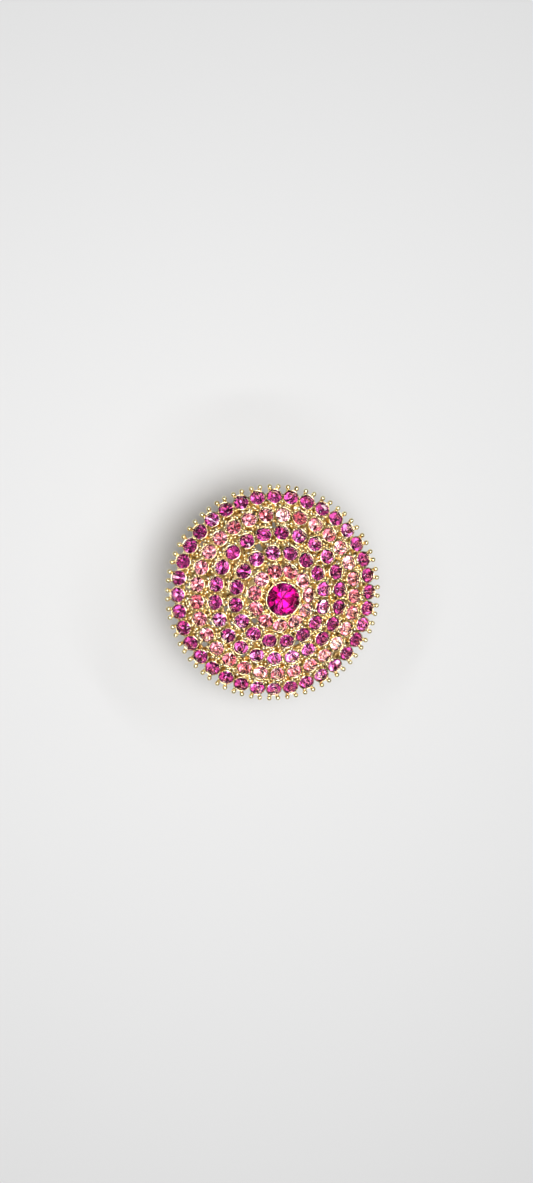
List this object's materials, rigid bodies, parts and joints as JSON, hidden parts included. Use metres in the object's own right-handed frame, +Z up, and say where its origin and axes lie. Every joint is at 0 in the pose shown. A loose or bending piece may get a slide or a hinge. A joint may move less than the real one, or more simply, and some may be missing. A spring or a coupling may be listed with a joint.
{
  "type": "cocktail ring",
  "caption": "Domed cocktail ring: rings of pink and fuchsia glass stones in claw cups round a large centre stone, on a stretch band of arc links.",
  "frame": {"origin": "centre of the finger hole, at the middle of the band's width", "axes": "+Y along the finger, +Z up through the middle of the stone-set dome, +X to the right across the finger"},
  "size_m": [0.0446, 0.0446, 0.036],
  "materials": {
    "gold_tone": "polished warm gold-tone plating over a cast and soldered frame",
    "fuchsia_glass": "faceted fuchsia glass with a foiled back",
    "rose_glass": "faceted light rose glass with a foiled back",
    "elastic_rubber": "covered elastic cord"
  },
  "bodies": {
    "head": {"centre_stone": "fuchsia_glass", "stones_row_1": "rose_glass", "stones_row_2": "fuchsia_glass", "stones_row_3": "fuchsia_glass", "stones_row_4": "rose_glass", "stones_row_5": "fuchsia_glass", "centre_collet": "gold_tone", "cups_row_1": "gold_tone", "cups_row_2": "gold_tone", "cups_row_3": "gold_tone", "cups_row_4": "gold_tone", "cups_row_5": "gold_tone", "hoop_1": "gold_tone", "hoop_2": "gold_tone", "hoop_3": "gold_tone", "hoop_4": "gold_tone", "hoop_5": "gold_tone", "filigree_1": "gold_tone", "filigree_2": "gold_tone", "filigree_3": "gold_tone", "filigree_4": "gold_tone", "hub_ring": "gold_tone", "dome_ribs": "gold_tone", "back_bars": "gold_tone", "band_bridge": "gold_tone", "elastic_cord_front": "elastic_rubber", "elastic_cord_back": "elastic_rubber", "crimp_front": "gold_tone", "crimp_back": "gold_tone"},
    "link_1": {"link_1": "gold_tone"},
    "link_2": {"link_2": "gold_tone"},
    "link_3": {"link_3": "gold_tone"},
    "link_4": {"link_4": "gold_tone"},
    "link_5": {"link_5": "gold_tone"},
    "link_6": {"link_6": "gold_tone"},
    "link_7": {"link_7": "gold_tone"},
    "link_8": {"link_8": "gold_tone"},
    "link_9": {"link_9": "gold_tone"},
    "link_10": {"link_10": "gold_tone"},
    "link_11": {"link_11": "gold_tone"}
  },
  "joints": [
    {"name": "band_stretch", "type": "slide", "parent": "head", "child": "link_1", "axis": [0.9659, 0, -0.2588], "range_m": [0, 0.00085], "stiffness_N_per_m": 3500, "springref_m": -0.0002, "deforming": ["elastic_cord_front", "elastic_cord_back"]},
    {"name": "stretch_2", "type": "slide", "parent": "link_1", "child": "link_2", "axis": [0.7071, 0, -0.7071], "range_m": [0, 0.00085], "stiffness_N_per_m": 3500, "springref_m": -0.0002},
    {"name": "stretch_3", "type": "slide", "parent": "link_2", "child": "link_3", "axis": [0.2588, 0, -0.9659], "range_m": [0, 0.00085], "stiffness_N_per_m": 3500, "springref_m": -0.0002},
    {"name": "stretch_4", "type": "slide", "parent": "link_3", "child": "link_4", "axis": [-0.2588, 0, -0.9659], "range_m": [0, 0.00085], "stiffness_N_per_m": 3500, "springref_m": -0.0002},
    {"name": "stretch_5", "type": "slide", "parent": "link_4", "child": "link_5", "axis": [-0.7071, 0, -0.7071], "range_m": [0, 0.00085], "stiffness_N_per_m": 3500, "springref_m": -0.0002},
    {"name": "stretch_6", "type": "slide", "parent": "link_5", "child": "link_6", "axis": [-0.9659, 0, -0.2588], "range_m": [0, 0.00085], "stiffness_N_per_m": 3500, "springref_m": -0.0002},
    {"name": "stretch_11", "type": "slide", "parent": "head", "child": "link_11", "axis": [-0.9659, 0, -0.2588], "range_m": [0, 0.00085], "stiffness_N_per_m": 3500, "springref_m": -0.0002},
    {"name": "stretch_10", "type": "slide", "parent": "link_11", "child": "link_10", "axis": [-0.7071, 0, -0.7071], "range_m": [0, 0.00085], "stiffness_N_per_m": 3500, "springref_m": -0.0002},
    {"name": "stretch_9", "type": "slide", "parent": "link_10", "child": "link_9", "axis": [-0.2588, 0, -0.9659], "range_m": [0, 0.00085], "stiffness_N_per_m": 3500, "springref_m": -0.0002},
    {"name": "stretch_8", "type": "slide", "parent": "link_9", "child": "link_8", "axis": [0.2588, 0, -0.9659], "range_m": [0, 0.00085], "stiffness_N_per_m": 3500, "springref_m": -0.0002},
    {"name": "stretch_7", "type": "slide", "parent": "link_8", "child": "link_7", "axis": [0.7071, 0, -0.7071], "range_m": [0, 0.00085], "stiffness_N_per_m": 3500, "springref_m": -0.0002}
  ],
  "couplings": [
    {"joint": "stretch_2", "follows": "band_stretch", "ratio": 1},
    {"joint": "stretch_3", "follows": "band_stretch", "ratio": 1},
    {"joint": "stretch_4", "follows": "band_stretch", "ratio": 1},
    {"joint": "stretch_5", "follows": "band_stretch", "ratio": 1},
    {"joint": "stretch_6", "follows": "band_stretch", "ratio": 1},
    {"joint": "stretch_11", "follows": "band_stretch", "ratio": 1},
    {"joint": "stretch_10", "follows": "band_stretch", "ratio": 1},
    {"joint": "stretch_9", "follows": "band_stretch", "ratio": 1},
    {"joint": "stretch_8", "follows": "band_stretch", "ratio": 1},
    {"joint": "stretch_7", "follows": "band_stretch", "ratio": 1}
  ]
}
